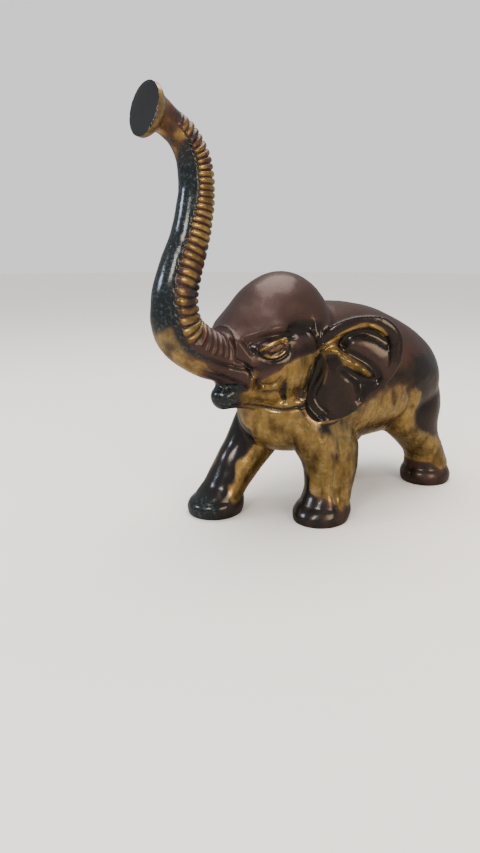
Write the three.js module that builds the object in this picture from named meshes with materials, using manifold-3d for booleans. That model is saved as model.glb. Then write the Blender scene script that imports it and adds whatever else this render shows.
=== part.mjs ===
// A small cast bronze elephant, walking, with its trunk raised and flared at the tip.
// One casting, so one mesh. Millimetres, +Z up: it faces -Y and its soles stand on Z = 0.
import * as THREE from "three";
import { mergeVertices } from "three/addons/utils/BufferGeometryUtils.js";
import Module from "manifold-3d";

// Driving dimensions
const torsoLength = 173;
const backHeight = 138;
const bellyHeight = 41;
const torsoWidth = 84;
const headWidth = 67;
const ringPitch = { bend: 5.2, tip: 3.1 };
const ringRelief = 0.9;
const ringSpread = { root: 80, tip: 115 }; // degrees the rings reach round from the top of the trunk
const discFlare = 5;
const earThickness = 4.2;
const earSpread = THREE.MathUtils.degToRad(40); // how far the ears stand off the neck

// A point measured forward from mid-body, up from the ground and out to the left.
// The origin is half way between the trunk's tip and the hind heel.
const originForward = 23.3;
const at = (forward, up, left = 0) => new THREE.Vector3(left, originForward - forward, up);
const heading = (forward, up, left = 0) => new THREE.Vector3(left, -forward, up);

// Rows of key sections, read smoothly at any place from 0 to 1
function sections(rows) {
  const places = rows.map((row, i) => i / (rows.length - 1));
  const table = new THREE.CubicInterpolant(places, rows.flat(), rows[0].length);
  return (place) => [...table.evaluate(place)];
}

const evenly = (steps) => Array.from({ length: steps + 1 }, (_, i) => i / steps);
const bump = (distance, radius) => Math.exp(-((distance / radius) ** 2));

// A closed skin over rings of points, with a fan over each end. pointAt takes the station and an angle.
function closedSkin(stations, sides, pointAt) {
  const points = [];
  const faces = [];
  for (const station of stations)
    for (let side = 0; side < sides; side++) points.push(pointAt(station, (side / sides) * 2 * Math.PI));
  const ring = (row, side) => row * sides + (side % sides);
  for (let row = 0; row + 1 < stations.length; row++)
    for (let side = 0; side < sides; side++) {
      const [a, b] = [ring(row, side), ring(row, side + 1)];
      const [c, d] = [ring(row + 1, side), ring(row + 1, side + 1)];
      faces.push(a, b, d, a, d, c);
    }
  for (const row of [0, stations.length - 1]) {
    const middle = new THREE.Vector3();
    for (let side = 0; side < sides; side++) middle.addScaledVector(points[ring(row, side)], 1 / sides);
    points.push(middle);
    for (let side = 0; side < sides; side++) {
      const edge = [ring(row, side), ring(row, side + 1)];
      if (row === 0) edge.reverse();
      faces.push(...edge, points.length - 1);
    }
  }
  const geometry = new THREE.BufferGeometry().setFromPoints(points);
  geometry.setIndex(faces);
  return geometry;
}

// Torso, head and jaw: upright sections from tail to nose, each [forward, top, widest, bottom, half width]
function animalForm(rows, steps, sides, mounds = []) {
  const section = sections(rows);
  return closedSkin(evenly(steps), sides, (place, angle) => {
    const [forward, top, widest, bottom, halfWidth] = section(place);
    const rise = Math.sin(angle);
    const height = rise > 0 ? top - widest : widest - bottom;
    const point = at(forward, widest + height * rise, halfWidth * Math.cos(angle));
    for (const [moundForward, up, out, radius, raised] of mounds)
      for (const side of [1, -1]) {
        const amount = raised * bump(point.distanceTo(at(moundForward, up, side * out)), radius);
        point.addScaledVector(heading(0, rise, Math.cos(angle)), amount);
      }
    return point;
  });
}

function torso() {
  const half = torsoWidth / 2;
  const tail = 75 - torsoLength;
  return animalForm(
    [
      [tail, 82, 75, 66, 8],
      [tail + 5, 97, 78, 54, 21],
      [tail + 18, 112, 78, 46, half - 7],
      [tail + 42, 125, 79, bellyHeight, half],
      [tail + 75, backHeight - 2, 81, bellyHeight, half],
      [16, backHeight + 2, 80, bellyHeight, half - 2],
      [42, backHeight - 2, 78, bellyHeight + 1, 31],
      [60, backHeight - 20, 75, 47, 27],
      [71, 101, 74, 54, 18],
      [76, 82, 74, 66, 6],
    ],
    24,
    26,
  );
}

function head() {
  const half = headWidth / 2;
  const brow = [80, 129, 22, 8, 2.2];
  const eyeSocket = [82, 119, 27, 7, -1.5];
  const temple = [58, 130, 32, 11, -4];
  const cheek = [66, 96, 30, 13, 2.5];
  const underEye = [88, 106, 22, 7, -2];
  return animalForm(
    [
      [18, 128, 118, 108, 9],
      [25, 145, 118, 92, 23],
      [38, 157, 118, 81, half - 3],
      [55, 159.5, 114, 77, half],
      [71, 153, 110, 77, half - 2],
      [85, 139.5, 109, 82, 26],
      [97, 128, 110, 93, 18],
      [106, 120, 110, 99, 11],
    ],
    20,
    28,
    [brow, eyeSocket, temple, cheek, underEye],
  );
}

function jaw() {
  return animalForm(
    [
      [50, 90, 86, 82, 6],
      [58, 95, 86, 75, 20],
      [76, 95, 87, 76.5, 16],
      [90, 95, 87, 79, 9.5],
      [99, 94, 87, 79.5, 8],
      [104, 90, 87, 84, 3],
    ],
    12,
    16,
  );
}

// An almond bulge set into the side of the face
function eye(side) {
  const almond = new THREE.SphereGeometry(1, 14, 8);
  almond.scale(3.2, 10, 5);
  almond.rotateX(THREE.MathUtils.degToRad(6));
  almond.rotateZ(THREE.MathUtils.degToRad(side * -22));
  almond.translate(...at(82, 118.3, side * 26.8));
  return almond.deleteAttribute("uv").deleteAttribute("normal");
}

// The trunk's middle line, from inside the head to the tip
const trunkLine = new THREE.CatmullRomCurve3([
  at(84, 110),
  at(100, 111),
  at(115.5, 118),
  at(128.2, 129),
  at(130.4, 146),
  at(126.4, 161.5),
  at(121.1, 174),
  at(116.4, 190),
  at(114.3, 205),
  at(116.2, 219),
  at(122.3, 229),
  at(130.5, 235),
  at(136.5, 237.8),
  at(142, 239),
]);

// Where each ring's crest lies: close together by the tip, wide at the trunk's lower bend
function ringPlaces(firstPlace, lastPlace) {
  const length = trunkLine.getLength();
  const places = [];
  let along = firstPlace * length;
  while (along < lastPlace * length) {
    places.push(along / length);
    const towardTip = THREE.MathUtils.smoothstep(along, 50, 140);
    along += THREE.MathUtils.lerp(ringPitch.bend, ringPitch.tip, towardTip);
  }
  return places;
}

function trunk() {
  const radii = [14.5, 13.8, 14, 13.6, 12.4, 11.3, 10.3, 9.6, 8.9, 7.6, 7.8];
  const radiusAt = sections(radii.map((radius) => [radius]));
  const left = heading(0, 0, 1);
  const crests = ringPlaces(0.09, 0.9);
  const skin = [{ place: 0 }, { place: 0.05 }];
  crests.forEach((place, i) => {
    const next = crests[i + 1];
    skin.push({ place, relief: ringRelief });
    if (next) skin.push({ place: (place + next) / 2 });
  });
  skin.push({ place: 0.93 }, { place: 0.97, flare: 0.6 }, { place: 0.99, flare: 2 });
  skin.push({ place: 1, flare: discFlare }, { place: 1, flare: discFlare + 0.4, lip: 1.5 });
  skin.push({ place: 1, flare: discFlare, lip: 3 }, { place: 1, flare: -4, lip: 3.2 });
  return closedSkin(skin, 16, ({ place, relief = 0, flare = 0, lip = 0 }, angle) => {
    const along = trunkLine.getTangentAt(place);
    const top = new THREE.Vector3().crossVectors(along, left);
    const [radius] = radiusAt(place);
    const fromTop = Math.abs(Math.PI - Math.abs(angle - 1.5 * Math.PI));
    const pastRoot = THREE.MathUtils.smoothstep(place, 0.1, 0.4);
    const spread = THREE.MathUtils.lerp(ringSpread.root, ringSpread.tip, pastRoot);
    const reach = radius + flare + (fromTop < THREE.MathUtils.degToRad(spread) ? relief : 0);
    return trunkLine
      .getPointAt(place)
      .addScaledVector(along, lip)
      .addScaledVector(left, Math.cos(angle) * reach)
      .addScaledVector(top, Math.sin(angle) * reach);
  });
}

// A leg: level sections from inside the body down to the sole, each
// [height, out from the middle, half length, half width, share of the step, share of the knee's bend]
function leg(side, { hip, step, bend }, rows) {
  const section = sections(rows);
  return closedSkin(evenly(18), 18, (place, angle) => {
    const [up, out, halfLength, halfWidth, stepShare, bendShare] = section(place);
    const forward = hip + step * stepShare + bend * bendShare;
    return at(forward + halfLength * Math.sin(angle), up, side * out + halfWidth * Math.cos(angle));
  });
}

const frontLeg = (side, pose) =>
  leg(side, pose, [
    [96, 17, 18, 10, 0, 0],
    [80, 19, 22, 13, 0, 0.1],
    [64, 22, 26, 16, 0.05, 0.4],
    [50, 24.5, 25.5, 17, 0.16, 0.75],
    [42, 25, 23, 16.5, 0.3, 1],
    [34, 25.5, 20.5, 16, 0.47, 1.1],
    [26, 26, 18.3, 15.5, 0.64, 1],
    [19, 26.5, 17, 15.3, 0.77, 0.8],
    [14, 27, 17.3, 16, 0.89, 0.55],
    [9, 27, 19, 17.5, 0.98, 0.3],
    [4, 27.5, 19.8, 18, 1, 0.1],
    [0, 27.5, 19, 17.3, 1, 0],
  ]);

const hindLeg = (side, pose) =>
  leg(side, pose, [
    [98, 16, 20, 10, 0, 0],
    [82, 20, 30, 15, 0, 0],
    [62, 24, 31, 17.5, 0, 0],
    [47, 25, 25.5, 17.5, 0.03, 0],
    [38, 25.5, 20.5, 16.5, 0.32, 0],
    [30, 26, 17.5, 15.8, 0.64, 0],
    [22, 26.5, 16, 15.3, 0.91, 0],
    [15, 27, 16.8, 15.8, 1.02, 0],
    [9, 27.5, 18.8, 17.3, 0.98, 0],
    [4, 28, 19.6, 18, 0.98, 0],
    [0, 28, 19, 17.3, 1, 0],
  ]);

// An ear lies in its own plane: out from where it joins the head, and up
const earOutline = new THREE.CatmullRomCurve3(
  [
    [-1, 117], [5.5, 124], [14.5, 130.8], [28, 134.7], [43, 133.5], [53, 124.5], [55, 112],
    [51, 99], [41, 88.5], [30, 76.5], [16, 68.5], [4, 69], [-5, 77.5], [-3, 88], [-2, 101],
  ].map(([out, up]) => new THREE.Vector3(out, up, 0)),
  true,
);

// Its folds, each a raised or sunk line: how far it stands up, how wide it is, and the places it runs through
const earFolds = [
  { raised: 2.4, width: 4.5, line: [[3, 119], [14, 125.5], [28, 130.5], [41, 129.5], [50, 121], [49, 102]] },
  { raised: -2.6, width: 4.5, line: [[16, 116], [26, 121.5], [36, 121.5], [43, 114]] },
  { raised: -1.6, width: 3.5, line: [[24, 110.5], [33, 105], [41, 99.5]] },
  { raised: 2.2, width: 3.5, line: [[6, 113], [16, 112], [28, 103], [39, 96.5]] },
  { raised: -2, width: 4, line: [[21, 100.5], [28, 95.5], [37, 90]] },
  { raised: 1.4, width: 3, line: [[15, 108], [24, 95.5], [30.5, 85], [29, 79]] },
  { raised: -2.4, width: 6.5, line: [[13, 104], [17, 92], [18, 80]] },
  { raised: 1.6, width: 2.8, line: [[6, 110], [8.5, 99], [4, 88], [4, 78], [13, 71.5]] },
];

function distanceToLine(spot, line) {
  const closest = new THREE.Vector3();
  const stretch = new THREE.Line3();
  let distance = Infinity;
  for (let i = 0; i + 1 < line.length; i++) {
    stretch.start.set(...line[i], 0);
    stretch.end.set(...line[i + 1], 0);
    stretch.closestPointToPoint(spot, true, closest);
    distance = Math.min(distance, closest.distanceTo(spot));
  }
  return distance;
}

function ear(side) {
  const hinge = new THREE.Vector3(3, 111, 0);
  const outward = heading(-Math.cos(earSpread), 0, side * Math.sin(earSpread));
  const facing = heading(Math.sin(earSpread), 0, side * Math.cos(earSpread));
  const shares = [0.12, 0.28, 0.42, 0.55, 0.67, 0.78, 0.88, 0.95];
  const front = shares.map((share) => ({ share, carving: Math.min(1, 2.2 * share) }));
  const rim = [{ share: 1, depth: earThickness * 0.5 }, { share: 0.96, depth: earThickness }];
  const back = [{ share: 0.6, depth: earThickness }, { share: 0.15, depth: earThickness }];
  return closedSkin([...front, ...rim, ...back], 32, ({ share, carving = 0, depth = 0 }, angle) => {
    const edge = earOutline.getPointAt(((side * angle) / (2 * Math.PI) + 1) % 1);
    const spot = hinge.clone().lerp(edge, share);
    let height = -depth;
    for (const { raised, width, line } of earFolds)
      height += carving * raised * bump(distanceToLine(spot, line), width);
    return at(50, spot.y, side * 28).addScaledVector(outward, spot.x).addScaledVector(facing, height);
  });
}

// The tail hangs against the rump and ends in a tuft
function tail() {
  const places = [[-84, 105], [-94, 96], [-98.5, 82], [-97, 66], [-94, 51]];
  const line = new THREE.CatmullRomCurve3(places.map((place) => at(...place)));
  const radiusAt = sections([4.5, 3.6, 3, 2.7, 2.6, 3.6, 3.4, 1].map((radius) => [radius]));
  const left = heading(0, 0, 1);
  return closedSkin(evenly(12), 10, (place, angle) => {
    const along = line.getTangentAt(place);
    const across = new THREE.Vector3().crossVectors(along, left);
    const [radius] = radiusAt(place);
    return line
      .getPointAt(place)
      .addScaledVector(left, Math.cos(angle) * radius)
      .addScaledVector(across, Math.sin(angle) * radius);
  });
}

const wasm = await Module();
wasm.setup();

function solid(geometry) {
  const merged = mergeVertices(geometry, 1e-4);
  const mesh = new wasm.Mesh({
    numProp: 3,
    vertProperties: merged.attributes.position.array,
    triVerts: new Uint32Array(merged.index.array),
  });
  return new wasm.Manifold(mesh);
}

function castAsOne(forms) {
  const joined = forms.map(solid).reduce((whole, next) => whole.add(next));
  const { vertProperties, triVerts } = joined.getMesh();
  const geometry = new THREE.BufferGeometry();
  geometry.setAttribute("position", new THREE.BufferAttribute(vertProperties, 3));
  geometry.setIndex(new THREE.BufferAttribute(triVerts, 1));
  geometry.computeVertexNormals();
  return geometry;
}

const bronze = new THREE.MeshStandardMaterial({ color: 0x7a5a34, roughness: 0.32, metalness: 1 });
const elephant = new THREE.Mesh(
  castAsOne([
    torso(),
    head(),
    jaw(),
    trunk(),
    frontLeg(1, { hip: 38, step: -1.5, bend: -10 }),
    frontLeg(-1, { hip: 38, step: 44, bend: 0 }),
    hindLeg(1, { hip: -60, step: -22, bend: 0 }),
    hindLeg(-1, { hip: -60, step: 27, bend: 0 }),
    eye(1),
    eye(-1),
    ear(1),
    ear(-1),
    tail(),
  ]),
  bronze,
);
elephant.name = "elephant";

const statue = new THREE.Group();
statue.add(elephant);
export default statue;
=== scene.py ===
# A small cast bronze elephant, walking, with its trunk raised: one casting, its patina worn back to gold.
import bpy
import math
import numpy as np
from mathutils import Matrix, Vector
from types import SimpleNamespace


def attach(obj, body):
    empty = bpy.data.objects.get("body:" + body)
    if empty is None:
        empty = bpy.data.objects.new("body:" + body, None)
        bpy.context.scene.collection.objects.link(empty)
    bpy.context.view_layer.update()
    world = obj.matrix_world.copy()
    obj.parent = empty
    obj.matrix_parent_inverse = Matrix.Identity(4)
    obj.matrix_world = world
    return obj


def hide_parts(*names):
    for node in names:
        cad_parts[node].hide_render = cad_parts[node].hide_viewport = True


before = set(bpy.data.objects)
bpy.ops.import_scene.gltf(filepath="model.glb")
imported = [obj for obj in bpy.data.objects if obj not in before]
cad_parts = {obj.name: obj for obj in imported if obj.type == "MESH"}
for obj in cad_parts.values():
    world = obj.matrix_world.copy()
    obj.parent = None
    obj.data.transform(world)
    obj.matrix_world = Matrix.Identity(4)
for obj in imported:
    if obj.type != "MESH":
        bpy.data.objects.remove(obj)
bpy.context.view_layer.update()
print("frame loaded")

mm = 0.001
originForward = 23.3  # the origin is half way between the trunk's tip and the hind heel

casting = {
    "skinSize": 1.5,  # mm between the points of the skin that joins the forms
    "trianglesMost": 196000,  # of the finished piece
    # rows and sides of the ball that each form is drawn from
    "balls": {
        "torso": (90, 96), "head": (90, 96), "jaw": (48, 96), "leg": (72, 72),
        "trunk": (260, 64), "tail": (70, 24), "ear": (120, 120), "eye": (32, 48),
    },
    # a step in and a slightly longer one out, so that the skin evens but doesn't shrink
    "evenSteps": (0.5, -0.53),
    "evenRounds": {"joined": 16, "filleted": 4, "refined": 2},
    # how deep a crease must be to get a fillet, in mm, and the rounds that find, widen, soften and fill it
    "crease": {"depth": (0.12, 0.3), "widen": 5, "soften": 6, "firm": 1.4, "fill": 28},
    "rimRounds": 8,
}


# Places are in millimetres: forward from mid-body, up from the ground, out to the left
def onAnimal(forward, up, left=0.0):
    return np.stack(np.broadcast_arrays(left, originForward - forward, up), axis=-1).astype(float)


def bump(distance, width):
    return np.exp(-(distance / width) ** 2)


def ramp(value, low, high):
    t = np.clip((value - low) / (high - low), 0.0, 1.0)
    return t * t * (3 - 2 * t)


def blend(low, high, share):
    return low + (high - low) * share


def fromTable(table, place):
    # straight between the rows of a table of [place, value]
    return np.interp(place, *zip(*table))


def readRows(rows, place):
    # key sections, read smoothly at any place from 0 to 1
    table = np.array(rows, float)
    table = np.vstack([2 * table[0] - table[1], table, 2 * table[-1] - table[-2]])
    along = np.clip(place, 0.0, 1.0) * (len(rows) - 1)
    i = np.minimum(along.astype(int), len(rows) - 2)
    t = (along - i)[:, None]
    before, here, after, beyond = (table[i + k] for k in range(4))
    slope, nextSlope = (after - before) / 2, (beyond - here) / 2
    drop = here - after
    square, cube = 3 * drop + 2 * slope + nextSlope, 2 * drop + slope + nextSlope
    return here + slope * t - square * t ** 2 + cube * t ** 3


def smoothLine(points, closed=False, count=160):
    # evenly spaced points along a smooth line through the given ones, and its length
    given = np.array(points, float)
    if closed:
        given = np.vstack([given[-1], given, given[:2]])
    else:
        given = np.vstack([2 * given[0] - given[1], given, 2 * given[-1] - given[-2]])
    fine = []
    for a, b, c, d in zip(given, given[1:], given[2:], given[3:]):
        first, middle, last = (max(np.linalg.norm(q - p), 1e-6) ** 0.5 for p, q in ((a, b), (b, c), (c, d)))
        leave = middle * ((b - a) / first - (c - a) / (first + middle) + (c - b) / middle)
        arrive = middle * ((c - b) / middle - (d - b) / (middle + last) + (d - c) / last)
        t = np.linspace(0, 1, 40, endpoint=False)[:, None]
        square, cube = 3 * (c - b) - 2 * leave - arrive, 2 * (b - c) + leave + arrive
        fine.append(b + leave * t + square * t ** 2 + cube * t ** 3)
    fine = np.vstack(fine + [given[1:2] if closed else given[-2:-1]])
    run = np.concatenate([[0], np.cumsum(np.linalg.norm(np.diff(fine, axis=0), axis=1))])
    even = np.linspace(0, run[-1], count)
    return np.stack([np.interp(even, run, column) for column in fine.T], axis=1), run[-1]


def middleLine(places, count):
    # a line up the animal's middle, its heading and top side at each point, and its length
    line, length = smoothLine([onAnimal(forward, up) for forward, up in places], count=count)
    heading = np.gradient(line, axis=0)
    heading /= np.linalg.norm(heading, axis=1)[:, None]
    return line, heading, np.cross(heading, (1.0, 0.0, 0.0)), length


def wayOut(top, angle):
    # straight out from a middle line, at each turn round it
    side = np.stack([np.cos(angle), 0 * angle, 0 * angle], axis=1)
    return side + top * np.sin(angle)[:, None]


def distanceTo(line, spots):
    # from each spot to the nearest stretch of a line, and how far along the line that is, 0 to 1
    nearest = np.full(len(spots), np.inf)
    along = np.zeros(len(spots))
    for i, (start, end) in enumerate(zip(line, line[1:])):
        stretch = end - start
        share = np.clip((spots - start) @ stretch / max(stretch @ stretch, 1e-9), 0, 1)
        distance = np.linalg.norm(spots - start - share[:, None] * stretch, axis=1)
        closer = distance < nearest
        nearest[closer] = distance[closer]
        along[closer] = (i + share[closer]) / (len(line) - 1)
    return nearest, along


def readPoints(mesh):
    values = np.empty(len(mesh.vertices) * 3, np.float32)
    mesh.vertices.foreach_get("co", values)
    return values.reshape(-1, 3).astype(float)


def readNormals(mesh):
    values = np.empty(len(mesh.vertices) * 3, np.float32)
    mesh.vertex_normals.foreach_get("vector", values)
    return values.reshape(-1, 3).astype(float)


def writePoints(mesh, points):
    mesh.vertices.foreach_set("co", points.astype(np.float32).ravel())
    mesh.update()


def onlySelect(*objects):
    bpy.ops.object.select_all(action="DESELECT")
    for obj in objects:
        obj.select_set(True)
    bpy.context.view_layer.objects.active = objects[0]


def readPairs(mesh):
    # the two ends of each edge, and how many edges meet at each point
    pairs = np.empty(len(mesh.edges) * 2, np.int32)
    mesh.edges.foreach_get("vertices", pairs)
    pairs = pairs.reshape(-1, 2)
    return pairs, np.maximum(np.bincount(pairs.ravel(), minlength=len(mesh.vertices)), 1)


def neighbourMean(points, pairs, counts):
    mean = np.empty_like(points)
    for k in range(points.shape[1]):
        column = points[:, k]
        mean[:, k] = np.bincount(pairs[:, 0], column[pairs[:, 1]], len(points))
        mean[:, k] += np.bincount(pairs[:, 1], column[pairs[:, 0]], len(points))
    return mean / counts[:, None]


def evenOut(points, pairs, counts, rounds):
    for share in casting["evenSteps"] * rounds:
        points += share * (neighbourMean(points, pairs, counts) - points)


# A ball whose rows of points are drawn out into a form; its two ends close on themselves
def drawnBall(name, pointAt):
    rows, sides = casting["balls"][name]
    bpy.ops.mesh.primitive_uv_sphere_add(segments=sides, ring_count=rows)
    form = bpy.context.object
    form.name = name
    ball = readPoints(form.data)
    row = np.arccos(np.clip(ball[:, 2], -1, 1)) / math.pi * rows
    points = pointAt(np.clip((row - 1) / (rows - 2), 0, 1), np.arctan2(ball[:, 1], ball[:, 0]))
    points[row < 0.5] = points[(row > 0.5) & (row < 1.5)].mean(axis=0)
    points[row > rows - 0.5] = points[(row > rows - 1.5) & (row < rows - 0.5)].mean(axis=0)
    writePoints(form.data, points * mm)
    return form


bodyForms = {
    # [forward, top, widest, bottom, half width] from the tail forward
    "torso": [
        [-98, 82, 75, 66, 8],
        [-93, 97, 78, 54, 21],
        [-80, 112, 78, 46, 35],
        [-56, 125, 79, 41, 42],
        [-23, 136, 81, 41, 42],
        [16, 140, 80, 41, 40],
        [42, 136, 78, 42, 31],
        [60, 118, 75, 47, 27],
        [71, 101, 74, 54, 18],
        [76, 82, 74, 66, 6],
    ],
    "head": [
        [18, 128, 118, 108, 9],
        [25, 145, 118, 92, 23],
        [38, 157, 118, 81, 30.5],
        [55, 159.5, 114, 77, 33.5],
        [71, 153, 110, 77, 31.5],
        [85, 139.5, 109, 82, 26],
        [97, 128, 110, 93, 18],
        [106, 120, 110, 99, 11],
    ],
    "jaw": [
        [50, 90, 86, 82, 6],
        [58, 95, 86, 75, 20],
        [76, 95, 87, 76.5, 16],
        [90, 95, 87, 79, 9.5],
        [99, 94, 87, 79.5, 8],
        [104, 90, 87, 84, 3],
    ],
    # brow, eye socket, temple, cheek and the hollow under the eye: [forward, up, out, radius, raised]
    "mounds": {
        "head": [
            [80, 129, 22, 8, 2.2],
            [82, 119, 27, 7, -1.5],
            [58, 130, 32, 11, -4],
            [66, 96, 30, 13, 2.5],
            [88, 106, 22, 7, -2],
        ],
    },
    # its place is forward, up, out; its turns are in degrees
    "eye": {"halfSize": (3.1, 8.4, 4.2), "place": (82, 118.3, 26.8), "rise": 6, "inward": -22},
}


def bodyForm(name):
    def pointAt(place, angle):
        forward, top, widest, bottom, halfWidth = readRows(bodyForms[name], place).T
        rise = np.sin(angle)
        height = np.where(rise > 0, top - widest, widest - bottom)
        points = onAnimal(forward, widest + height * rise, halfWidth * np.cos(angle))
        outward = np.stack([np.cos(angle), 0 * angle, rise], axis=1)
        for moundForward, up, out, radius, raised in bodyForms["mounds"].get(name, ()):
            for side in (1, -1):
                away = np.linalg.norm(points - onAnimal(moundForward, up, side * out), axis=1)
                points += outward * (raised * bump(away, radius))[:, None]
        return points

    return drawnBall(name, pointAt)


def eyeBall(side):
    # an almond bulge set into the side of the face
    rows, sides = casting["balls"]["eye"]
    bpy.ops.mesh.primitive_uv_sphere_add(segments=sides, ring_count=rows)
    ball = bpy.context.object
    form = bodyForms["eye"]
    points = readPoints(ball.data) * form["halfSize"]
    for axis, degrees in ((0, form["rise"]), (2, side * form["inward"])):
        a, b = [k for k in range(3) if k != axis]
        turn = math.radians(degrees)
        points[:, a], points[:, b] = (points[:, a] * math.cos(turn) - points[:, b] * math.sin(turn),
                                      points[:, a] * math.sin(turn) + points[:, b] * math.cos(turn))
    forward, up, out = form["place"]
    writePoints(ball.data, (points + onAnimal(forward, up, side * out)) * mm)
    return ball


legForms = {
    # [up, out, half length, half width, share of the step, share of the bend], from inside the body down
    "front": [
        [96, 17, 18, 10, 0, 0],
        [80, 19, 22, 13, 0, 0.1],
        [64, 22, 26, 16, 0.05, 0.4],
        [50, 24.5, 25.5, 17, 0.16, 0.75],
        [42, 25, 23, 16.5, 0.3, 1],
        [34, 25.5, 20.5, 16, 0.47, 1.1],
        [26, 26, 18.3, 15.5, 0.64, 1],
        [19, 26.5, 17, 15.3, 0.77, 0.8],
        [14, 27, 17.3, 16, 0.89, 0.55],
        [9, 27, 19, 17.5, 0.98, 0.3],
        [4, 27.5, 19.8, 18, 1, 0.1],
        [0, 27.5, 19, 17.3, 1, 0],
    ],
    "hind": [
        [98, 16, 20, 10, 0, 0],
        [82, 20, 30, 15, 0, 0],
        [62, 24, 31, 17.5, 0, 0],
        [47, 25, 25.5, 17.5, 0.03, 0],
        [38, 25.5, 20.5, 16.5, 0.32, 0],
        [30, 26, 17.5, 15.8, 0.64, 0],
        [22, 26.5, 16, 15.3, 0.91, 0],
        [15, 27, 16.8, 15.8, 1.02, 0],
        [9, 27.5, 18.8, 17.3, 0.98, 0],
        [4, 28, 19.6, 18, 0.98, 0],
        [0, 28, 19, 17.3, 1, 0],
    ],
    # which side, which rows, hip, step and bend of the knee
    "poses": [
        (1, "front", 38, -1.5, -10),
        (-1, "front", 38, 44, 0),
        (1, "hind", -60, -22, 0),
        (-1, "hind", -60, 27, 0),
    ],
    "spare": 1.2,  # how far a leg runs on below the ground, until its sole is trimmed flat
    "kneecap": [78, 40, -26, 10, 1.9],  # of the right front leg: forward, up, left, radius, raised
}


def legForm(side, rows, hip, step, bend):
    def pointAt(place, angle):
        up, out, halfLength, halfWidth, stepShare, bendShare = readRows(legForms[rows], place).T
        up = np.where(place > 0.999, -legForms["spare"], up)
        forward = hip + step * stepShare + bend * bendShare
        return onAnimal(forward + halfLength * np.sin(angle), up, side * out + halfWidth * np.cos(angle))

    return drawnBall("leg", pointAt)


def legMiddle(rows, hip, step, bend, up):
    # how far forward the middle of a leg is at each height
    table = np.array(legForms[rows])[::-1]
    stepShare, bendShare = (np.interp(up, table[:, 0], table[:, k]) for k in (4, 5))
    return hip + step * stepShare + bend * bendShare


trunkForm = {
    # its middle line, from inside the head to the tip: forward, up
    "line": [
        (84, 110), (100, 111), (115.5, 118), (128.2, 129), (130.4, 146), (126.4, 161.5), (121.1, 174),
        (116.4, 190), (114.3, 205), (116.2, 219), (122.3, 229), (130.5, 235), (136.5, 237.8), (142, 239),
    ],
    "radii": [14.5, 13.8, 14, 13.6, 12.4, 11.3, 10.3, 9.6, 8.9, 7.6, 7.8],
    "flareFrom": 0.94,  # share of the line
    "flare": [[0], [0.6], [2], [5.4]],  # from there to the disc
    "lip": 3.2,  # how far the disc stands past the end of the line
    "lipFrom": 0.985,  # share of the rows
    "lipSpare": (0.8, 0.4),  # forward and round, until the disc is trimmed true
}
trunkLine, trunkAlong, trunkTop, trunkLength = middleLine(trunkForm["line"], 700)
discRadius = trunkForm["radii"][-1] + trunkForm["flare"][-1][0]


def trunkRadius(place):
    start = trunkForm["flareFrom"]
    flare = readRows(trunkForm["flare"], (np.clip(place, start, 1) - start) / (1 - start))[:, 0]
    return readRows([[radius] for radius in trunkForm["radii"]], place)[:, 0] + np.maximum(flare, 0)


def trunkPoint(place, angle):
    start, (ahead, around) = trunkForm["lipFrom"], trunkForm["lipSpare"]
    lip = np.interp(place, [0, start, 1], [0, 0, trunkForm["lip"] + ahead])
    line = np.minimum(place / start, 1)
    i = np.round(line * (len(trunkLine) - 1)).astype(int)
    radius = (trunkRadius(line) + np.where(place > start, around, 0))[:, None]
    return trunkLine[i] + trunkAlong[i] * lip[:, None] + wayOut(trunkTop[i], angle) * radius


tailForm = {
    "line": [(-84, 106), (-95.4, 97), (-100.4, 82), (-99.4, 67), (-97, 52)],  # forward, up
    "radii": [4.8, 4, 3.3, 2.9, 2.8, 4, 3.8, 1],
}


def tailPoint(place, angle):
    line, _, top, _ = middleLine(tailForm["line"], 200)
    i = np.round(place * (len(line) - 1)).astype(int)
    radius = readRows([[radius] for radius in tailForm["radii"]], place)
    return line[i] + wayOut(top[i], angle) * radius


# An ear lies in its own plane: out from where it joins the head, and up
earForm = {
    "outline": [
        (-1, 117), (5.5, 124), (14.5, 130.8), (28, 134.7), (43, 133.5), (53, 124.5), (55, 112), (51, 99),
        (41, 88.5), (30, 76.5), (16, 68.5), (4, 69), (-5, 77.5), (-3, 88), (-2, 101),
    ],
    "hinge": (3, 111),
    "root": (50, 28),  # forward, out
    "spread": 40,  # degrees that it stands off the neck
    # half the rows run out over the front, a few round the rim, the rest back behind it
    "rows": [0, 0.5, 0.53, 0.56, 0.59, 1],
    "shares": [0.05, 0.95, 1, 1, 0.96, 0.05],
    "heights": [0, 0, -0.9, -3.3, -4.2, -4.2],
}


def earAxes(side):
    turn = math.radians(earForm["spread"])
    forward, out = earForm["root"]
    outward = np.array([side * math.sin(turn), math.cos(turn), 0])
    facing = np.array([side * math.cos(turn), -math.sin(turn), 0])
    return onAnimal(forward, 0, side * out), outward, facing


def earForSide(side):
    steps = 720
    outline, _ = smoothLine(earForm["outline"], closed=True, count=steps + 1)
    root, outward, facing = earAxes(side)

    def pointAt(place, angle):
        share = np.interp(place, earForm["rows"], earForm["shares"])
        height = np.interp(place, earForm["rows"], earForm["heights"])
        edge = outline[np.round((side * angle / (2 * math.pi)) % 1 * steps).astype(int)]
        spot = np.array(earForm["hinge"]) * (1 - share[:, None]) + edge * share[:, None]
        points = root + outward * spot[:, :1] + facing * height[:, None]
        points[:, 2] = spot[:, 1]
        return points

    return drawnBall("ear", pointAt)


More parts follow.
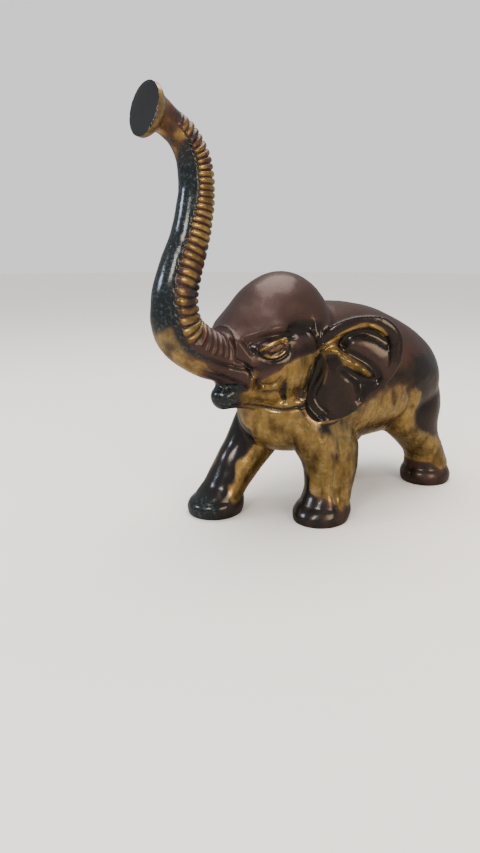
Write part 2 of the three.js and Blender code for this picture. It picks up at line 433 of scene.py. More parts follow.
def blockOut():
    bpy.ops.object.select_all(action="DESELECT")
    forms = [bodyForm("torso"), bodyForm("head"), bodyForm("jaw")]
    forms += [legForm(*pose) for pose in legForms["poses"]]
    forms += [drawnBall("trunk", trunkPoint), drawnBall("tail", tailPoint)]
    for side in (1, -1):
        forms += [earForSide(side), eyeBall(side)]
    onlySelect(*forms)
    bpy.ops.object.join()
    piece = bpy.context.object
    piece.name = "elephantCasting"
    remesh = piece.modifiers.new("oneSkin", "REMESH")
    remesh.mode = "VOXEL"
    remesh.voxel_size = casting["skinSize"] * mm
    bpy.ops.object.modifier_apply(modifier="oneSkin")
    print("forms joined:", len(piece.data.vertices), "points")
    return piece


def softenJoins(piece):
    # where two forms meet in a crease the metal runs into a fillet; elsewhere only the skin's unevenness goes
    mesh = piece.data
    points = readPoints(mesh) / mm
    pairs, counts = readPairs(mesh)
    evenOut(points, pairs, counts, casting["evenRounds"]["joined"])
    writePoints(mesh, points * mm)
    hollow = ((neighbourMean(points, pairs, counts) - points) * readNormals(mesh)).sum(axis=1)
    look = casting["crease"]
    crease = ramp(hollow, *look["depth"])[:, None]
    for _ in range(look["widen"]):
        crease = np.maximum(crease, neighbourMean(crease, pairs, counts))
    for _ in range(look["soften"]):
        crease = neighbourMean(crease, pairs, counts)
    crease = np.clip(crease * look["firm"], 0, 1)
    for _ in range(look["fill"]):
        points += 0.5 * crease * (neighbourMean(points, pairs, counts) - points)
    evenOut(points, pairs, counts, casting["evenRounds"]["filleted"])
    writePoints(mesh, points * mm)
    print("joins softened")


# Raised and sunk lines: [raised, width, points], in millimetres
carving = {
    # on the side of the face: forward, up
    "face": [
        [1.2, 3.0, [(97, 121.6), (93.6, 123.6), (89, 125.6), (83, 127.6), (78, 129.2), (73, 130)]],  # brow
        # fold under it
        [-1.7, 1.9, [(93, 121.6), (89, 122.8), (84, 124.4), (78, 125.6), (72, 125.8), (67, 124.4)]],
        [0.9, 1.0, [(88.4, 117.8), (85, 119.9), (80.7, 121.5), (76.6, 122.5), (72.9, 123.2)]],  # upper lid
        [-0.9, 0.8, [(88, 116.9), (85.2, 118.6), (81.1, 120.2), (77.2, 121.1), (74.1, 121.4)]],
        [0.45, 0.6, [(84.5, 117.9), (80.7, 119), (77.2, 119.6)]],
        [-0.9, 0.8, [(88, 116.6), (85.6, 115.6), (82, 114.7), (78.6, 115.5), (75.9, 117.3), (74.1, 119.4)]],
        # lower lid
        [1.0, 1.1, [(88.6, 116.9), (85.6, 114.2), (82, 113), (78.2, 113.8), (75, 116), (72.9, 118.4)]],
        [-0.7, 1.1, [(88, 113.6), (85, 111.9), (81.6, 111), (77.5, 111.9), (73.6, 114.4)]],
        [0.55, 1.0, [(86.8, 117.2), (85, 116.8)]],  # inner corner
        [0.9, 0.8, [(75.2, 121.9), (72.5, 121.4)]],  # folds at the outer corner
        [-0.7, 0.7, [(75.2, 120.9), (72.2, 120.4)]],
        [0.8, 0.8, [(74.5, 119.9), (72.2, 119.4)]],
        # before the eye
        [1.1, 2.4, [(97, 122), (96.6, 119.6), (95.2, 117), (93.8, 114.4), (92.2, 111.4), (91.2, 108.4)]],
        [-1.1, 1.6, [(93.6, 121), (92.8, 118), (92, 115.6)]],
        [-1.6, 1.3, [(99, 111.4), (95.6, 109.3), (92.8, 106.8), (91.1, 104), (89.8, 101), (88, 97),
                     (86.6, 93.6)]],
        # upright folds at the corner of the mouth
        [0.8, 0.9, [(93.4, 102), (92, 98.6), (90.8, 95.6), (89.4, 92.4)]],
        [0.8, 0.8, [(90.4, 100.4), (89.7, 96.6), (88.6, 93)]],
        [-1.4, 1.6, [(87.6, 99.4), (87, 96.6), (86.6, 94.2)]],
        [-1.8, 1.5, [(104, 95.2), (99, 94.2), (94, 93.6), (90.4, 92.2), (87.4, 92.6)]],  # mouth
        # its gold edge
        [1.0, 1.2, [(89, 91.8), (84, 94), (80.4, 93.9), (77.4, 95.2), (75.7, 97.4), (75.2, 99.8)]],
        [-1.0, 1.1, [(85, 96.4), (82, 96), (79, 97.6), (76.8, 100.4)]],
        # hollow of the cheek
        [-1.8, 2.0, [(74.4, 97.4), (73.2, 93.6), (71.8, 90), (69.4, 87), (66.6, 84.8)]],
        [-1.3, 1.4, [(81.6, 91.4), (78.4, 91), (75, 91.2), (72.4, 90)]],
        [0.9, 1.6, [(85, 89.6), (80, 87.6), (75.4, 85.6), (71, 82.8), (67, 81.4)]],
        [0.9, 1.4, [(69, 93.6), (67.2, 89.4), (64.6, 86), (63.2, 83.6)]],
        [-1.6, 2.2, [(61.6, 90.8), (59.4, 88.8), (58.8, 85.6)]],
        # under the jaw
        [-1.2, 1.4, [(86, 81.6), (80, 80.4), (73, 78.8), (66, 78.4), (60, 79.6), (56, 78.6)]],
        [1.6, 1.5, [(55.4, 83.2), (54.4, 85.4), (54.2, 87.6)]],  # knob where the ear's edge meets the jaw
        [-0.9, 1.8, [(54.8, 104), (54.6, 101.6)]],
        [-2.0, 4.6, [(65, 128), (57, 129), (51, 127)]],  # temple
        [1.3, 3.4, [(66, 121.4), (61, 121.6), (56, 120)]],
        [1.0, 1.8, [(53.6, 124), (52.6, 119.6), (52.4, 115)]],
    ],
    "iris": {"place": (80.2, 117.5), "raised": (0.5, 1.7), "ring": (0.4, 2.2, 0.5), "pupil": (0.6, 0.6)},
    # on the front of an ear, in its own plane: out, up
    "ear": [
        # under the rolled rim
        [-2.3, 3.6, [(18, 117.6), (22.6, 122.4), (31, 124.6), (39, 122.2), (46, 118.4)]],
        [-1.9, 3.0, [(17.4, 117.4), (19, 113.2), (25, 110.6), (32, 107.4), (38, 102.6), (41.4, 98)]],
        [1.9, 6.4, [(26, 117.2), (33, 113.8), (40, 108), (45.6, 102)]],  # upper lobe
        [1.3, 2.4, [(8, 113.4), (15, 113.2), (18.6, 110.4), (23, 107.4)]],  # tongue
        [1.7, 3.6, [(21, 108), (26, 105), (31.4, 102)]],
        [0.9, 2.4, [(31, 102.2), (36.4, 98.6)]],
        [0.8, 1.4, [(16.6, 121), (16.2, 117.4), (16, 114)]],
        [-2.1, 3.4, [(21, 101.8), (27, 98), (33, 95), (40, 95)]],
        [2.3, 7.2, [(15.4, 101), (16, 92), (16.6, 84), (18, 78.6)]],  # lower lobe
        [0.8, 3.0, [(23.4, 94), (26.6, 87), (27.4, 80)]],
        [-1.1, 2.2, [(31, 92), (31.8, 87.4), (30.8, 83)]],
        [1.2, 2.4, [(46, 96.6), (41.6, 90.4), (36.8, 86), (31.6, 81.2), (27.4, 77)]],
        [-0.8, 1.1, [(8.6, 108), (8.8, 100), (6.2, 94), (3.4, 88), (3.4, 84), (6.4, 78.8), (11, 75)]],
        [-2.2, 2.6, [(4.6, 110), (3.8, 101), (1.2, 93), (-0.4, 86), (0.4, 79), (5.4, 73)]],
        [0.9, 1.2, [(-4, 77.4), (-1, 72.2), (4, 69.6), (13, 69.4), (22, 72), (29, 76.6)]],
        [0.9, 1.1, [(3, 112.4), (2, 106), (0.2, 99), (-1.8, 92), (-3, 87)]],
    ],
    # the gold lip on the inner side of the roll
    "lip": [
        [1.1, 1.1, [(3, 113.6), (8, 116.6), (13, 119.8), (18, 123.6), (26, 127.4), (31, 128.6), (35, 128.4),
                    (40, 126), (43, 123)]],
    ],
    # the thick roll along the ear's upper edge
    "roll": {
        "raised": 3.0,
        "line": [(5.4, 119), (11, 124.2), (19, 128.6), (29, 131.4), (39.6, 130.4), (47.4, 125.6), (50.6, 117),
                 (50.6, 108), (48, 100)],
        "widths": [2.6, 3.8, 4.6, 4.8, 4.6, 4.6, 4.0, 3.6, 2.4],
    },
    # on the outer side of a leg: forward of its middle line, up
    "front": [
        # groove down the outer side
        [-0.9, 1.3, [(11.4, 52), (11.2, 44), (11.4, 30), (8.4, 18), (5.4, 11.6)]],
        [0.5, 2.6, [(16, 56), (16.4, 42), (14.6, 30), (12.4, 18)]],
        [0.4, 3.0, [(4, 58), (4.4, 42), (4, 26)]],
        [-0.7, 1.5, [(-24, 62), (-16, 57.6), (-8, 57), (0, 59)]],
    ],
    "hind": [
        [0.9, 3.0, [(22, 80), (15.6, 72), (14, 66), (19.4, 60), (24.6, 53)]],  # front of the thigh
        [-1.0, 3.0, [(29, 80), (22.6, 70), (22.6, 63), (29, 55)]],
        [-0.5, 2.0, [(6, 44), (9, 36), (15, 28)]],
    ],
    # a slight groove above each foot and the rolled rim below it: raised, up, width
    "feet": [(-0.55, 11.5, 1.8), (0.35, 5.5, 3.2)],
    # unevenness of the whole skin: height, size of its lumps, seed
    "uneven": [(0.1, 16, 4), (0.035, 5, 9)],
}

# Lengths along the trunk are in millimetres from the start of its middle line
rings = {
    "pitch": (5.2, 3.1),  # at the trunk's lower bend, and toward its tip
    "pitchChange": (50, 140),  # along the trunk
    "reach": (0.09, 0.93),  # first and last, as shares of the trunk
    "fade": (0.95, 0.85),
    "relief": 1.0,
    "roundness": 2.4,
    "gap": (0.5, 0.22),  # depth and width of the gaps, as shares of the relief and of half the pitch
    # how far they reach round from the trunk's top: along the trunk, degrees
    "spread": [(0, 98), (25, 100), (45, 110), (60, 117), (80, 130), (95, 130), (110, 124), (130, 117),
               (150, 111), (170, 104)],
    "ridge": (1.1, 0.85, 0.25),  # height, width and depth between the thin ridges over the root
    "ridgesEnd": (36, 54),  # along the trunk, where the ridges turn to rings
    "wander": (0.35, 14, 61),  # how unevenly they lie: mm, size of the waves, seed
    "ragged": (0.05, 8, 62),  # how unevenly they end: radians, size of the waves, seed
}


def carved(strokes, spots):
    height = np.zeros(len(spots))
    for raised, width, points in strokes:
        line, _ = smoothLine(points, count=4 * len(points) + 8)
        near = ((spots > line.min(axis=0) - 3 * width) & (spots < line.max(axis=0) + 3 * width)).all(axis=1)
        distance, _ = distanceTo(line, spots[near])
        height[near] += raised * bump(distance, width)
    return height


def waves(points, size, seed, count=14):
    # smooth unevenness, about -1 to 1, with lumps of the given size in millimetres
    chance = np.random.default_rng(seed)
    heading = chance.normal(size=(count, 3))
    pace = 2 * math.pi / size * chance.uniform(0.6, 1.3, count)
    heading *= (pace / np.linalg.norm(heading, axis=1))[:, None]
    return np.sin(points @ heading.T + chance.uniform(0, 7, count)).sum(axis=1) / math.sqrt(count)


def onTrunk(points):
    # for points near the trunk: how far along its middle line they are, and the turn round it from its top
    step = 5
    coarse = trunkLine[::step]
    away = (coarse ** 2).sum(axis=1) - 2 * points @ coarse.T
    along = away.argmin(axis=1) * float(step)
    spacing = trunkLength / (len(trunkLine) - 1)
    index = np.arange(len(trunkLine))
    for _ in range(3):
        middle = np.stack([np.interp(along, index, column) for column in trunkLine.T], axis=1)
        heading = np.stack([np.interp(along, index, column) for column in trunkAlong.T], axis=1)
        along = np.clip(along + 0.8 * ((points - middle) * heading).sum(axis=1) / spacing, 0, index[-1])
    middle = np.stack([np.interp(along, index, column) for column in trunkLine.T], axis=1)
    top = np.stack([np.interp(along, index, column) for column in trunkTop.T], axis=1)
    out = points - middle
    return along * spacing, np.arctan2(np.abs(out[:, 0]), (out * top).sum(axis=1))


def ringPitch(along):
    return blend(*rings["pitch"], ramp(along, *rings["pitchChange"]))


def ringCrests():
    first, last = rings["reach"]
    crests = [first * trunkLength]
    while crests[-1] < last * trunkLength:
        crests.append(crests[-1] + ringPitch(crests[-1]))
    return np.array(crests[:-1])


def ringSpread(along):
    return np.radians(fromTable(rings["spread"], along))


def pastRings(along, turn):
    # how far round the trunk a point lies past the ends of the rings
    return (turn - ringSpread(along)) * trunkRadius(along / trunkLength)


def ringHeight(along, turn):
    # fat rounded rings with narrow gaps up the trunk, thin ridges fanned over its root
    crests = ringCrests()
    count = np.interp(along, crests, np.arange(len(crests)), left=-0.9, right=len(crests) - 0.1)
    nearest = np.clip(np.round(count), 0, len(crests) - 1)
    pitch, relief = ringPitch(along), rings["relief"]
    fromCrest = np.abs(count - nearest) * pitch
    pastEnd = pastRings(along, turn) + pitch * 0.5
    reach = np.hypot(fromCrest, np.maximum(pastEnd, 0)) / (pitch * 0.5)
    gapDepth, gapWidth = rings["gap"]
    ring = relief * (1 - np.clip(reach, 0, 1) ** rings["roundness"])
    ring -= gapDepth * relief * bump(reach - 1, gapWidth)
    ring *= ramp(along, *(share * trunkLength for share in rings["fade"]))
    ridgeHeight, ridgeWidth, between = rings["ridge"]
    inFan = ramp(pastEnd, 0.5, -1.5) * ramp(along, 2, 9)
    ridge = inFan * relief * (ridgeHeight * bump(fromCrest, ridgeWidth) - between)
    return blend(ridge, ring, ramp(along, *rings["ridgesEnd"]))


def rootBand(along, turn):
    # the roll along each side of the trunk's root, under the ends of the ridges
    below = pastRings(along, turn)
    fade = ramp(along, 1, 6) * ramp(along, 46, 26)
    return fade * (1.7 * bump(below - 4.2, 3.0) - 1.1 * bump(below - 0.5, 0.9) - 0.8 * bump(below - 9.6, 2.4))


def earSpots(points, side):
    # where points lie in the plane of an ear, how far before it, and which way it faces
    root, outward, facing = earAxes(side)
    away = points - root
    return np.stack([away @ outward, points[:, 2]], axis=1), away @ facing, facing


def insideEar(spots):
    # 0 at the hinge, 1 at the outline, more outside it
    outline, _ = smoothLine(earForm["outline"], closed=True, count=361)
    hinge = np.array(earForm["hinge"])
    edge = outline - hinge
    turn = np.unwrap(np.arctan2(edge[:, 1], edge[:, 0]))
    order = np.argsort(turn)
    away = spots - hinge
    angle = np.arctan2(away[:, 1], away[:, 0])
    low = turn.min()
    reach = np.interp((angle - low) % (2 * math.pi) + low, turn[order], np.linalg.norm(edge, axis=1)[order])
    return np.linalg.norm(away, axis=1) / reach


def onLeg(side, rows, hip, step, bend, points):
    # how far forward of a leg's middle line points are, and which belong to it
    forward = originForward - points[:, 1] - legMiddle(rows, hip, step, bend, points[:, 2])
    return forward, (np.sign(points[:, 0]) == side) & (np.abs(forward) < 34)


def legHeight(points, normals):
    height = np.zeros(len(points))
    up = points[:, 2]
    for side, rows, hip, step, bend in legForms["poses"]:
        forward, on = onLeg(side, rows, hip, step, bend, points)
        on &= (up < 84) & (points[:, 0] * side > 14)
        spots = np.stack([forward, up], axis=1)[on]
        height[on] += carved(carving[rows], spots) * ramp(normals[on, 0] * side, 0.15, 0.55)
    kneeForward, kneeUp, kneeLeft, radius, raised = legForms["kneecap"]
    height += raised * bump(np.linalg.norm(points - onAnimal(kneeForward, kneeUp, kneeLeft), axis=1), radius)
    for raised, middle, width in carving["feet"]:
        height += raised * bump(up - middle, width)
    return height


def earHeight(points, normals, side):
    spots, out, facing = earSpots(points, side)
    share = insideEar(spots)
    on = (out > -2.6) & (out < 4) & (share < 1.02) & (normals @ facing > 0)
    height = np.zeros(len(points))
    spots = spots[on]
    form = carving["roll"]
    line, _ = smoothLine(form["line"], count=48)
    distance, along = distanceTo(line, spots)
    width = readRows([[w] for w in form["widths"]], along)[:, 0]
    roll = form["raised"] * np.sqrt(np.clip(1 - (distance / width) ** 2, 0, 1))
    roll *= ramp(along, 0, 0.12) * ramp(along, 1, 0.9)
    lift = carved(carving["ear"], spots) + roll + carved(carving["lip"], spots)
    share, front = share[on], normals[on] @ facing
    height[on] = lift * ramp(share, 1.0, 0.94) * ramp(share, 0.02, 0.12) * ramp(front, 0.1, 0.6)
    return height


def faceHeight(points, normals):
    forward, up, out = originForward - points[:, 1], points[:, 2], np.abs(points[:, 0])
    height = np.zeros(len(points))
    on = (forward > 50) & (forward < 108) & (up > 74) & (up < 136) & (out > 5)
    spots = np.stack([forward, up], axis=1)[on]
    outward = ramp(normals[on, 0] * np.sign(points[on, 0]), 0.12, 0.45)
    height[on] = carved(carving["face"], spots) * outward
    iris = carving["iris"]
    away = np.linalg.norm(spots - iris["place"], axis=1)
    raised, width = iris["raised"]
    ringDepth, ringRadius, ringWidth = iris["ring"]
    pupilDepth, pupilWidth = iris["pupil"]
    height[on] += raised * bump(away, width) - ringDepth * bump(away - ringRadius, ringWidth)
    height[on] -= pupilDepth * bump(away, pupilWidth)
    return height


def refine(piece):
    # the whole skin once finer, and once more where the carving is: face, rings, disc and ears
    rounder = piece.modifiers.new("finer", "SUBSURF")
    rounder.levels = rounder.render_levels = 1
    onlySelect(piece)
    bpy.ops.object.modifier_apply(modifier="finer")
    mesh = piece.data
    points = readPoints(mesh) / mm
    forward, up, out = originForward - points[:, 1], points[:, 2], np.abs(points[:, 0])
    fine = (forward > 52) & (up > 76) & (up < 133) & (out > 10)
    near = (forward > 84) & (up > 92)
    along, turn = onTrunk(points[near])
    fine[near] |= ((turn < 2.4) & (along > 3) & (along < 165)) | (along > 0.98 * trunkLength)
    for side in (1, -1):
        spots, height, _ = earSpots(points, side)
        fine |= (height > -2.2) & (height < 3) & (insideEar(spots) < 1.0) & (points[:, 0] * side > 25)
    corners = np.empty(len(mesh.loops), np.int32)
    mesh.loops.foreach_get("vertex_index", corners)
    starts = np.empty(len(mesh.polygons), np.int32)
    mesh.polygons.foreach_get("loop_start", starts)
    chosen = np.logical_and.reduceat(fine[corners], starts)
    bpy.context.tool_settings.mesh_select_mode = (False, False, True)
    bpy.ops.object.mode_set(mode="EDIT")
    bpy.ops.mesh.select_all(action="DESELECT")
    bpy.ops.object.mode_set(mode="OBJECT")
    mesh.polygons.foreach_set("select", chosen)
    bpy.ops.object.mode_set(mode="EDIT")
    bpy.ops.mesh.subdivide(number_cuts=1)
    bpy.ops.object.mode_set(mode="OBJECT")
    points = readPoints(mesh) / mm
    evenOut(points, *readPairs(mesh), casting["evenRounds"]["refined"])
    writePoints(mesh, points * mm)
    print("skin refined:", len(mesh.vertices), "points")


def carve(piece):
    mesh = piece.data
    points, normals = readPoints(mesh) / mm, readNormals(mesh)
    height = faceHeight(points, normals) + legHeight(points, normals)
    near = (points[:, 1] < originForward - 86) & (points[:, 2] > 94)
    along, turn = onTrunk(points[near])
    wander, wanderSize, wanderSeed = rings["wander"]
    ragged, raggedSize, raggedSeed = rings["ragged"]
    moved = along + wander * waves(points[near], wanderSize, wanderSeed)
    turned = turn + ragged * waves(points[near], raggedSize, raggedSeed)
    height[near] += (ringHeight(moved, turned) + rootBand(along, turn)) * ramp(along, 0, 6)
    for side in (1, -1):
        height += earHeight(points, normals, side)
    for lift, size, seed in carving["uneven"]:
        height += lift * waves(points, size, seed)
    for name, values in finishes(points, normals, height).items():
        mesh.attributes.new(name, "FLOAT", "POINT").data.foreach_set("value", values.astype(np.float32))
    points += normals * height[:, None]
    points[:, 2] = np.maximum(points[:, 2], 0)  # soles
    rims = trueDisc(points, normals)
    for side in (1, -1):
        rims += trueEar(points, side)
    pairs, counts = readPairs(mesh)
    for _ in range(casting["rimRounds"]):
        points += rims[:, None] * (neighbourMean(points, pairs, counts) - points)
    writePoints(mesh, points * mm)
    print("carved")


def trueDisc(points, normals):
    # trims the disc at the trunk's tip flat and round, and tells how far each point is to be eased
    heading, flat = trunkAlong[-1], trunkForm["lip"]
    away = points - trunkLine[-1]
    out = away @ heading
    across = away - out[:, None] * heading
    reach = np.linalg.norm(across, axis=1)
    disc = (out > -2) & (reach < 16)
    sideways = (normals * across).sum(axis=1) > 0.5 * reach
    rim = (reach > discRadius - 1.6) & (out > 0.2) & sideways
    drawn = np.where(rim, discRadius, np.minimum(reach, discRadius)) / np.maximum(reach, 1)
    ends = (out > flat - 1.4) & (normals @ heading > 0.5)
    level = np.where(ends, flat, np.minimum(out, flat))
    trimmed = trunkLine[-1] + heading * level[:, None] + across * drawn[:, None]
    points[disc] = trimmed[disc]
    return 0.5 * disc


def trueEar(points, side):
    # draws the points of an ear's rim out to its outline, and tells how far each point is to be eased
    spots, front, _ = earSpots(points, side)
    share = insideEar(spots)
    on = (front > -6.5) & (front < 6) & (np.sign(points[:, 0]) == side)
    free = on * ramp(spots[:, 0], 10, 15) * ramp(points[:, 2], 84, 92)
    outward = (1 / np.maximum(share, 0.5) - 1) * ramp(share, 0.945, 0.975) * free
    drawn = (spots - earForm["hinge"]) * outward[:, None]
    points += earAxes(side)[1] * drawn[:, :1] + np.array([0, 0, 1]) * drawn[:, 1:]
    return 0.5 * ramp(np.abs(share - 1), 0.14, 0.08) * on


def thin(piece):
    triangles = sum(len(poly.vertices) - 2 for poly in piece.data.polygons)
    if triangles > casting["trianglesMost"]:
        decimate = piece.modifiers.new("thinner", "DECIMATE")
        decimate.ratio = casting["trianglesMost"] / triangles
        onlySelect(piece)
        bpy.ops.object.modifier_apply(modifier="thinner")
    print("thinned from", triangles, "triangles to", len(piece.data.polygons), "faces")


# Where each finish lies, with painted reflections, highlights and shade among them. Lines of marks are
# [amount, width, points], in millimetres
patinaAndPaintedLight = {
    # heights below which the metal is gold, partly worn patina and partly a painted reflection of the bright
    # ground, on the body and on the cheek: forward, up
    "goldBelow": [(-100, 16), (-84, 28), (-74, 38), (-64, 44), (-55, 50), (-49, 62), (-44, 74), (-36, 80),
                  (-20, 83), (0, 81), (20, 75), (40, 73), (60, 79), (80, 80)],
    "cheekBelow": [(50, 112), (58, 112), (65, 111), (70, 109.5), (75, 107), (80, 104), (84, 102), (88, 99),
                   (92, 92)],
    # how wide the band of painted dark reflection above the gold is
    "darkReflectionBand": [(-60, 17), (-45, 15), (-30, 11), (-10, 8), (10, 6), (30, 4)],
    # how far and how widely the edges wander, and the mottle: height, size, seed
    "drift": [(2.6, 30, 21), (1.3, 10, 22)],
    "mottle": [(1, 9, 23)],
    # on the outer sides of the body and head: forward, up
    "sideGoldAndHighlights": [
        [0.8, 3.6, [(-35, 52), (-38, 60), (-41, 68), (-45, 75)]],  # front edge of the thigh, a painted highlight
        [0.35, 6, [(20, 52), (0, 56), (-18, 58)]],
        [1.0, 0.8, [(88.4, 117.8), (85, 119.9), (80.7, 121.5), (76.6, 122.5), (72.9, 123.2)]],  # lids
        [0.9, 0.8, [(86.4, 114.6), (82, 113), (78.2, 113.8), (75.2, 115.8)]],
        [0.9, 0.9, [(75.6, 121.6), (72.7, 121)]],
        [0.45, 0.8, [(84.3, 117), (80.4, 118.4), (76.8, 119.4)]],
        [0.8, 1.3, [(89, 91.8), (84, 94), (80.4, 93.9), (77.4, 95.2), (75.7, 97.4)]],  # corner of the mouth
        [0.6, 1.4, [(90, 104), (89.6, 98), (88.4, 93)]],
    ],
    # painted shade under the ear, the jaw and the brow and in the hollows and creases of the face, a painted
    # dark reflection over the cheek, and darker patina in the grooves of the legs and flank
    "sideDarkAndShade": [
        [0.4, 1.6, [(36.4, 58), (37, 44), (37.6, 30), (36.6, 16)]],  # grooves of the left front leg
        [0.4, 2.4, [(48, 62), (46.4, 48), (45, 34)]],
        [0.4, 3.2, [(62, 70), (66, 62), (62, 54)]],
        # painted shade cast by the ear on the shoulder
        [0.5, 6, [(46, 67), (34, 65), (22, 67), (10, 72)]],
        [0.3, 6, [(-6, 66), (-18, 69), (-28, 74)]],
        [0.35, 3, [(26, 50), (25, 62)]],
        [0.45, 3, [(58, 74), (48, 68), (40, 58), (38, 46)]],
        [0.75, 5.5, [(69, 127), (62, 127), (54, 129), (47, 127)]],  # temple, painted shade in its hollow
        [0.35, 5, [(60, 121), (50, 119)]],
        [0.55, 2.6, [(90, 119), (85, 121.4), (78, 123.4), (71, 123)]],  # about the eye, painted shade under the brow and the lids
        [0.75, 3.2, [(89, 116), (84, 114), (77, 114.6), (71, 117)]],
        [0.65, 4, [(87, 107), (76, 110.6), (64, 114.6), (54, 116)]],  # over the cheek, a painted dark reflection above the cheek's gold
        # painted shade in the crease between the trunk's root and the cheek
        [0.8, 2.6, [(98, 112), (94, 108), (91.4, 103), (89.6, 98)]],
        [0.6, 4, [(96, 131), (104, 126)]],
        [0.55, 2.2, [(73, 96), (71.4, 90), (67, 85)]],
        # painted shade under the jaw
        [0.5, 2.2, [(90, 83), (80, 81), (70, 80), (58, 80)]],
        # painted shade below the ear, behind the jaw
        [0.7, 4, [(58, 98), (55, 88), (54, 80)]],
    ],
    # gold lines on an ear, and the brown lobes among its black hollows: out, up
    "earGold": [
        [1.0, 1.5, [(2, 112.6), (8, 116.6), (13, 119.8), (18, 123.6), (26, 127.4), (31, 128.6)]],
        [1.1, 1.8, [(29, 128.2), (35, 128.2), (40, 126), (43, 123)]],
        [0.9, 2.2, [(8, 113.4), (15.6, 114), (19, 110.6), (22, 108)]],
        [1.0, 2.6, [(22, 107), (28, 103.8)]],
        [0.85, 1.8, [(27, 104.2), (31, 102), (35, 99)]],
        [0.7, 1.8, [(15.6, 118.6), (13, 115.6)]],
        [0.8, 0.9, [(-4, 77.4), (-1, 72.2), (4, 69.4), (13, 69.0), (22, 71.4)]],
        [0.5, 0.9, [(7.4, 111.4), (9.4, 106), (9.2, 99.4), (7.8, 93)]],
    ],
    "earBrown": [
        [1.2, 6.0, [(27, 117.2), (33, 113.8), (40, 108), (45, 103)]],
        [0.7, 3.4, [(22, 98), (25, 92.4), (27.2, 86.6), (27, 81)]],
        [0.5, 3.5, [(9, 80), (14, 76.6)]],
        [0.7, 2.6, [(44, 92), (36.8, 86), (31, 80.4)]],
    ],
    "footDark": {"front": 0.6, "hind": 0.46},  # how near-black the feet are
    # the disc: gold round its rim and back, partly a painted highlight, and its face painted blue-black, a
    # painted dark reflection
    "disc": {"gold": 0.6, "dark": 0.35, "faceDark": 0.95, "faceCool": 0.7},
    # along the trunk: the gold under its root and bend, a painted reflection of the bright ground, and where
    # the black gives way to gold at the neck
    "underGoldReflection": [(22, 33), (62, 50)],
    "neck": (146, 170),
    "topGold": (160, 176),
}


def readSkin(points, normals, relief):
    # what the finish of each point is worked out from
    skin = SimpleNamespace(points=points, normals=normals, relief=relief)
    skin.forward, skin.up, skin.out = originForward - points[:, 1], points[:, 2], np.abs(points[:, 0])
    skin.side = np.sign(points[:, 0])
    skin.facing, skin.outward = -normals[:, 1], normals[:, 0] * skin.side
    skin.drift, skin.mottle = (sum(height * waves(points, size, seed) for height, size, seed in patinaAndPaintedLight[name])
                               for name in ("drift", "mottle"))
    return skin


def bodyPatinaAndReflection(skin):
    # gold below a line, partly worn patina and partly a painted reflection of the bright ground, with a band
    # of painted dark reflection above it
    above = skin.up + skin.drift - fromTable(patinaAndPaintedLight["goldBelow"], skin.forward)
    skin.gold = 0.84 * ramp(above, 8, -9) + 0.16 * ramp(above, 42, 6)
    darkReflectionBand = fromTable(patinaAndPaintedLight["darkReflectionBand"], skin.forward)
    skin.dark = 0.7 * bump(above - 0.8 * darkReflectionBand, darkReflectionBand)
    # the rump is painted near-black, a painted dark reflection over its patina
    rump = ramp(skin.forward, -36, -52) * ramp(skin.up, 114, 92) * ramp(skin.up, 34, 56)
    skin.dark += 0.95 * rump


def legPatinaAndReflection(skin):
    for side, rows, hip, step, bend in legForms["poses"]:
        forward, on = onLeg(side, rows, hip, step, bend, skin.points)
        if rows == "hind":
            behind = on * ramp(skin.up, 66, 50) * ramp(forward + skin.drift, -5, -17)
            skin.gold *= 1 - 0.6 * behind
            skin.dark += 0.3 * behind * ramp(skin.up, 24, 50)
        else:
            # the fronts of the front legs are painted near-black, a painted dark reflection
            front = on * ramp(skin.up, 86, 62) * ramp(skin.facing + 0.1 * skin.mottle, 0.4, 0.72)
            if side > 0:  # the left front leg is black on its inner side alone
                front *= ramp(skin.outward + 0.06 * skin.mottle, 0.15, -0.3)
            skin.dark += 0.95 * front
            skin.gold *= 1 - 0.95 * front
        toe = 8 * ramp(forward, 0, 14)
        foot = on * ramp(skin.up + 0.35 * skin.drift, 14 + toe, 8 + toe)
        skin.dark += foot * (patinaAndPaintedLight["footDark"][rows] + 0.14 * skin.mottle)
        skin.gold *= 1 - 0.95 * foot


def headPatinaAndReflection(skin):
    onHead = ramp(skin.forward, 44, 50) * ramp(skin.up, 76, 80)
    # the cheek is gold below a line from the mouth's corner to the ear, partly worn patina and partly a
    # painted reflection of the bright ground
    cheek = fromTable(patinaAndPaintedLight["cheekBelow"], skin.forward)
    cheekGold = ramp(skin.up + 0.3 * skin.drift, cheek + 2.2, cheek - 2.2)
    cheekGold *= ramp(skin.forward, 94, 90) * ramp(skin.out, 5, 10)
    skin.gold = blend(skin.gold, cheekGold, onHead)
    skin.dark *= 1 - onHead
    # the lower lip is painted near-black, a painted dark reflection
    skin.lip = ramp(skin.forward, 87, 95) * ramp(skin.up, 98, 94)
    skin.dark += 0.9 * skin.lip
    skin.gold *= 1 - 0.95 * skin.lip


def sideMarks(skin):
    # painted shade, a painted highlight, worn gold and dark patina on the sides of the body and head
    beside = ramp(skin.outward, 0.1, 0.45)
    on = beside > 0
    spots = np.stack([skin.forward, skin.up], axis=1)[on]
    black, gold = np.zeros(len(on)), np.zeros(len(on))
    black[on] = np.clip(carved(patinaAndPaintedLight["sideDarkAndShade"], spots), 0, 1) * beside[on]
    gold[on] = np.clip(carved(patinaAndPaintedLight["sideGoldAndHighlights"], spots), 0, 1) * beside[on]
    skin.dark = (skin.dark + black) * (1 - gold)
    skin.gold = np.maximum(skin.gold, gold)


